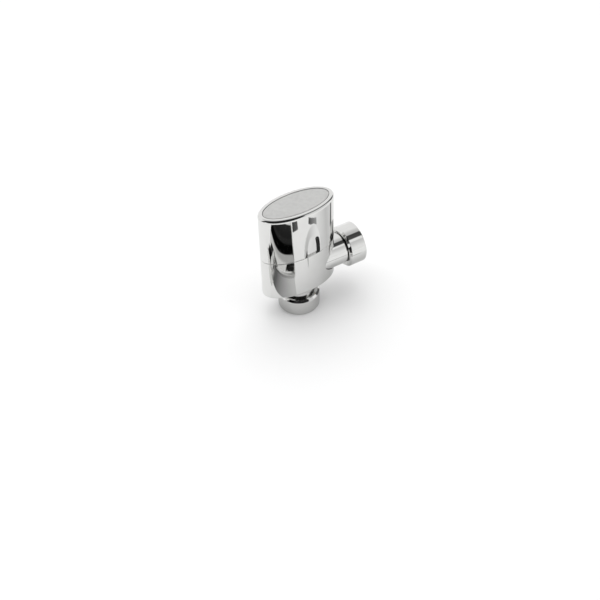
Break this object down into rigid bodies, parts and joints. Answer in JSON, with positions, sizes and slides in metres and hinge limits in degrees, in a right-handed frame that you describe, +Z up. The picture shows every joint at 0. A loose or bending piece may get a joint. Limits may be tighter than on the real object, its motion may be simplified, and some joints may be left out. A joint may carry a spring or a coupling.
{
  "type": "thermostatic radiator valve",
  "caption": "Angled radiator valve in an oval chromed casing, with a turning thermostatic head and round union nuts for 15 mm pipe.",
  "frame": {"origin": "on the valve axis, at the outer face of the inlet nut, where the supply pipe enters and the valve stands", "axes": "+Z up the valve axis to the head's top plate, +X out along the outlet, +Y across the oval"},
  "size_m": [0.0687, 0.027, 0.0823],
  "materials": {
    "chrome": "polished chrome plate",
    "satin_plate": "satin, finely bead-blasted",
    "brass": "machined",
    "copper": "machined copper",
    "steel": "bright drawn",
    "black_nylon": "moulded, fine texture",
    "white_nylon": "moulded",
    "rubber": "matt",
    "fibre": "pressed fibre"
  },
  "bodies": {
    "valve": {"lower_casing": "chrome", "valve_body": "brass", "inlet_spigot": "chrome", "inlet_seal": "fibre", "outlet_spigot": "chrome", "outlet_seal": "fibre", "casing_plate": "steel", "casing_screw_left": "steel", "casing_screw_right": "steel", "bonnet": "brass", "bonnet_o_ring": "rubber", "spring_retainer": "brass", "return_spring": "steel", "gland_o_ring": "rubber", "gland_nut": "brass", "head_base": "black_nylon", "limit_pin": "steel", "glide_ring": "white_nylon", "head_circlip": "steel"},
    "head": {"head_casing": "chrome", "top_plate": "satin_plate", "plate_pad": "rubber", "head_carrier": "black_nylon", "head_screw_left": "steel", "head_screw_right": "steel"},
    "sensor": {"sensor_holder": "white_nylon", "wax_capsule": "copper", "overtravel_spring": "steel", "holder_cap": "brass"},
    "stem_group": {"stem": "steel", "stem_cap": "white_nylon", "capsule_piston": "steel", "disc_holder": "brass", "disc_washer": "rubber", "disc_screw": "steel"},
    "inlet_ring": {"inlet_olive": "copper"},
    "inlet_union": {"inlet_nut": "chrome"},
    "outlet_ring": {"outlet_olive": "copper"},
    "outlet_union": {"outlet_nut": "chrome"}
  },
  "joints": [
    {"name": "head_turn", "type": "hinge", "parent": "valve", "child": "head", "pos_m": [0, 0, 0.0555], "axis": [0, 0, 1], "range_deg": [-150, 150]},
    {"name": "sensor_lift", "type": "slide", "parent": "valve", "child": "sensor", "axis": [0, 0, 1], "range_m": [-0.001, 0.001]},
    {"name": "thermal_stroke", "type": "slide", "parent": "sensor", "child": "stem_group", "axis": [0, 0, 1], "range_m": [-0.0008, 0.0008], "stiffness_N_per_m": 2000, "deforming": ["return_spring"]},
    {"name": "inlet_olive_slide", "type": "slide", "parent": "valve", "child": "inlet_ring", "axis": [0, 0, -1], "range_m": [0, 0.00544]},
    {"name": "inlet_nut_turn", "type": "hinge", "parent": "inlet_ring", "child": "inlet_union", "pos_m": [0, 0, 0], "axis": [0, 0, -1], "range_deg": [0, 1080]},
    {"name": "outlet_olive_slide", "type": "slide", "parent": "valve", "child": "outlet_ring", "axis": [1, 0, 0], "range_m": [0, 0.00544]},
    {"name": "outlet_nut_turn", "type": "hinge", "parent": "outlet_ring", "child": "outlet_union", "pos_m": [0.0432, 0, 0.0318], "axis": [1, 0, 0], "range_deg": [0, 1080]}
  ],
  "couplings": [
    {"joint": "sensor_lift", "follows": "head_turn", "m_per_rad": 0.00038197},
    {"joint": "inlet_nut_turn", "follows": "inlet_olive_slide", "rad_per_m": 3463},
    {"joint": "outlet_nut_turn", "follows": "outlet_olive_slide", "rad_per_m": 3463}
  ]
}
